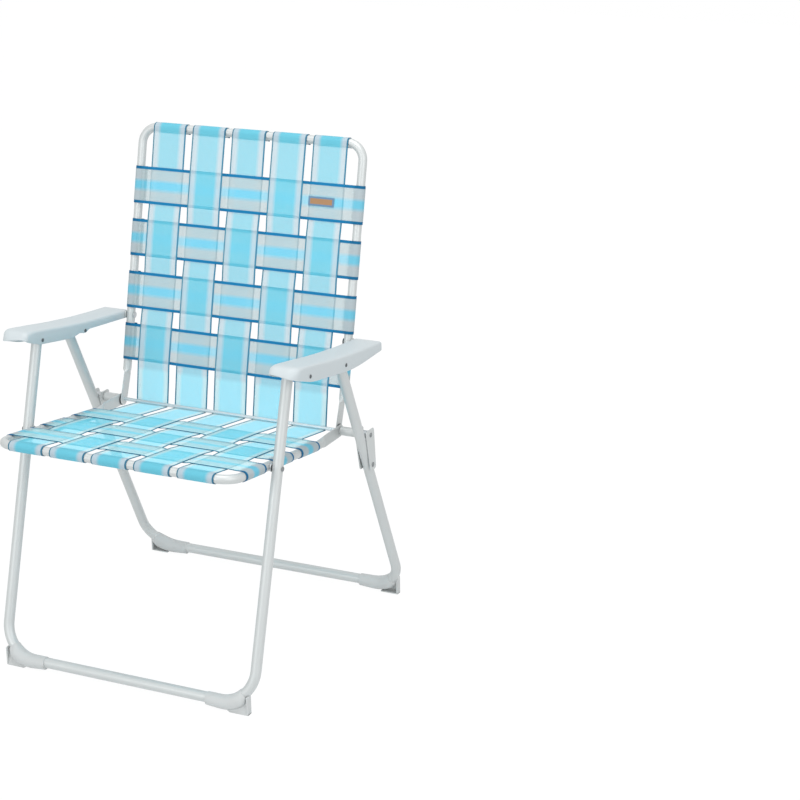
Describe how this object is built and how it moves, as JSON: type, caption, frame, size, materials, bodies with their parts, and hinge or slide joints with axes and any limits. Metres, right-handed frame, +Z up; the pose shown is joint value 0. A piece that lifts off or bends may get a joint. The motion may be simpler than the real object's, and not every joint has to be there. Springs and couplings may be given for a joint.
{
  "type": "folding lawn chair",
  "caption": "Folding tubular-steel lawn chair with a seat and back of woven flat straps, moulded armrests and corner feet.",
  "frame": {"origin": "middle of the chair's footprint box, on the ground", "axes": "+Z up, the chair's front faces -Y, +X to the right when it is seen from the front"},
  "size_m": [0.5974, 0.5798, 0.8992],
  "materials": {
    "tube_coat": "silver-grey powder coat, satin",
    "steel": "zinc-plated",
    "dark_steel": "dark, dull",
    "arm_plastic": "moulded, fine satin",
    "foot_plastic": "moulded, satin",
    "webbing": "woven plastic tape with blue edges and a pale blue centre between grey bands",
    "tag": "plain sewn tag, satin"
  },
  "bodies": {
    "rear_legs": {"rear_leg_frame": "tube_coat", "rear_foot_right": "foot_plastic", "rear_foot_left": "foot_plastic", "link_lower_rivet_right": "steel", "link_lower_rivet_left": "steel"},
    "front_legs": {"front_leg_frame": "tube_coat", "front_foot_right": "foot_plastic", "front_foot_left": "foot_plastic", "seat_rivet_right": "steel", "seat_rivet_left": "steel", "seat_washer_right": "steel", "seat_washer_left": "steel"},
    "armrests": {"armrest_right": "arm_plastic", "armrest_left": "arm_plastic", "arm_front_bolt_right": "dark_steel", "arm_front_bolt_left": "dark_steel", "arm_rear_bolt_right": "dark_steel", "arm_rear_bolt_left": "dark_steel", "arm_front_spacer_right": "foot_plastic", "arm_front_spacer_left": "foot_plastic", "arm_rear_spacer_right": "foot_plastic", "arm_rear_spacer_left": "foot_plastic", "back_rivet_right": "steel", "back_rivet_left": "steel", "back_washer_right": "foot_plastic", "back_washer_left": "foot_plastic"},
    "seat": {"seat_frame": "tube_coat", "hinge_rod": "steel", "hinge_washer_right": "dark_steel", "hinge_washer_left": "dark_steel", "hinge_spacer_right": "tube_coat", "hinge_spacer_left": "tube_coat", "seat_long_strap_1": "webbing", "seat_long_strap_2": "webbing", "seat_long_strap_3": "webbing", "seat_long_strap_4": "webbing", "seat_long_strap_5": "webbing", "seat_cross_strap_1": "webbing", "seat_cross_strap_2": "webbing", "seat_cross_strap_3": "webbing"},
    "back": {"back_frame": "tube_coat", "back_long_strap_1": "webbing", "back_long_strap_2": "webbing", "back_long_strap_3": "webbing", "back_long_strap_4": "webbing", "back_long_strap_5": "webbing", "back_cross_strap_1": "webbing", "back_cross_strap_2": "webbing", "back_cross_strap_3": "webbing", "back_cross_strap_4": "webbing", "tag": "tag"},
    "links": {"link_inner_plate_right": "tube_coat", "link_inner_plate_left": "tube_coat", "link_outer_plate_right": "tube_coat", "link_outer_plate_left": "tube_coat", "link_spacer_right": "steel", "link_spacer_left": "steel", "link_upper_bolt_right": "steel", "link_upper_bolt_left": "steel"}
  },
  "joints": [
    {"name": "fold", "type": "hinge", "parent": "rear_legs", "child": "armrests", "pos_m": [0, 0.02727, 0.54605], "axis": [-1, 0, 0], "range_deg": [0, 51.6]},
    {"name": "front_leg_fold", "type": "hinge", "parent": "armrests", "child": "front_legs", "pos_m": [0, -0.10925, 0.567], "axis": [1, 0, 0], "range_deg": [0, 89.31]},
    {"name": "seat_fold", "type": "hinge", "parent": "front_legs", "child": "seat", "pos_m": [0, -0.15638, 0.41148], "axis": [-1, 0, 0], "range_deg": [0, 88.17]},
    {"name": "back_fold", "type": "hinge", "parent": "seat", "child": "back", "pos_m": [0, 0.12456, 0.38296], "axis": [1, 0, 0], "range_deg": [0, 88.85]},
    {"name": "link_fold", "type": "hinge", "parent": "rear_legs", "child": "links", "pos_m": [0, 0.13203, 0.32302], "axis": [-1, 0, 0], "range_deg": [0, 142.81]}
  ],
  "couplings": [
    {"joint": "front_leg_fold", "follows": "fold", "ratio": 1.7288},
    {"joint": "seat_fold", "follows": "fold", "ratio": 1.7068},
    {"joint": "back_fold", "follows": "fold", "ratio": 1.7199},
    {"joint": "link_fold", "follows": "fold", "ratio": 2.7657}
  ]
}
